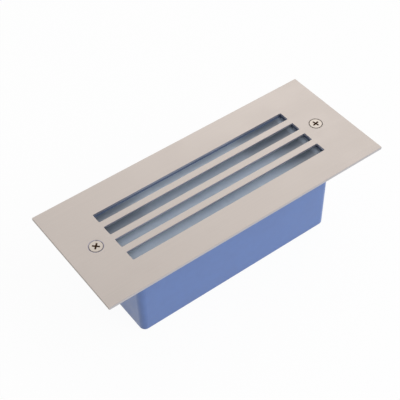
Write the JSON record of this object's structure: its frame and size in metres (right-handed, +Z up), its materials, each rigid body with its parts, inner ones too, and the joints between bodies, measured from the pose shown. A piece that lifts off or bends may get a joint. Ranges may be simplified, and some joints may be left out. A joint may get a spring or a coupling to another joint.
{
  "type": "in-ground light",
  "caption": "Rectangular in-ground light: slotted brushed steel plate on two screws over a blue recess box, with a sealed lamp unit that lifts out.",
  "frame": {"origin": "centre of the underside of the recess box", "axes": "+X along the length to the end with the cable entry, +Y across, +Z up out of the ground"},
  "size_m": [0.24, 0.098, 0.0765],
  "materials": {
    "blue_plastic": "smooth semi-gloss moulding",
    "brass": "turned brass",
    "black_rubber": "matt black rubber",
    "cast_aluminium": "fine die-cast skin",
    "frosted_glass": "toughened glass, frosted underneath",
    "slate_paint": "satin slate powder coat",
    "zinc_plate": "bright zinc plate",
    "tray_aluminium": "mill finish sheet",
    "pad_silicone": "grey silicone pad",
    "board_white": "white solder mask",
    "led_phosphor": "yellow phosphor under clear resin",
    "white_plastic": "white moulding",
    "lead_brown": "brown lead",
    "lead_red": "red lead",
    "lead_green": "green lead with a yellow stripe",
    "black_plastic": "black moulding",
    "brushed_stainless": "grain along the length",
    "bright_stainless": "bright, with light driver marks"
  },
  "bodies": {
    "recess_box": {"recess_box": "blue_plastic", "threaded_inserts": "brass", "cable_grommet": "black_rubber", "blanking_plug": "black_rubber"},
    "lamp_unit": {"terminal_sleeves": "brass", "terminal_screws": "brass", "lens_gasket": "black_rubber", "gland_washer": "black_rubber", "gland_seal": "black_rubber", "lamp_housing": "cast_aluminium", "glass_lens": "frosted_glass", "lens_frame": "slate_paint", "frame_screws": "zinc_plate", "tray_screws": "zinc_plate", "board_screws": "zinc_plate", "driver_screws": "zinc_plate", "block_screw": "zinc_plate", "earth_tag": "zinc_plate", "earth_screw": "zinc_plate", "gear_tray": "tray_aluminium", "thermal_pad": "pad_silicone", "led_board": "board_white", "led_chips": "led_phosphor", "board_connector": "white_plastic", "reflector": "white_plastic", "terminal_block": "white_plastic", "led_driver": "white_plastic", "live_and_neutral_leads": "lead_brown", "led_leads": "lead_red", "earth_lead": "lead_green", "gland_body": "black_plastic", "gland_nut": "black_plastic", "gland_locknut": "black_plastic"},
    "cover": {"face_plate": "brushed_stainless", "rim_gasket": "black_rubber"},
    "left_cup_washer": {"left_cup_washer": "bright_stainless"},
    "right_cup_washer": {"right_cup_washer": "bright_stainless"},
    "left_cover_screw": {"left_cover_screw": "bright_stainless"},
    "right_cover_screw": {"right_cover_screw": "bright_stainless"}
  },
  "joints": [
    {"name": "lamp_unit_lift", "type": "slide", "parent": "recess_box", "child": "lamp_unit", "axis": [0, 0, 1], "range_m": [0, 0.06]},
    {"name": "cover_lift", "type": "slide", "parent": "lamp_unit", "child": "cover", "axis": [0, 0, 1], "range_m": [0, 0.03]},
    {"name": "left_screw_rise", "type": "slide", "parent": "cover", "child": "left_cup_washer", "axis": [0, 0, 1], "range_m": [0, 0.013]},
    {"name": "left_screw_turn", "type": "hinge", "parent": "left_cup_washer", "child": "left_cover_screw", "pos_m": [-0.0985, 0, 0.0765], "axis": [0, 0, 1], "range_deg": [0, 5850]},
    {"name": "right_screw_rise", "type": "slide", "parent": "cover", "child": "right_cup_washer", "axis": [0, 0, 1], "range_m": [0, 0.013]},
    {"name": "right_screw_turn", "type": "hinge", "parent": "right_cup_washer", "child": "right_cover_screw", "pos_m": [0.0985, 0, 0.0765], "axis": [0, 0, 1], "range_deg": [0, 5850]}
  ],
  "couplings": [
    {"joint": "left_screw_turn", "follows": "left_screw_rise", "rad_per_m": 7854},
    {"joint": "right_screw_turn", "follows": "right_screw_rise", "rad_per_m": 7854}
  ]
}
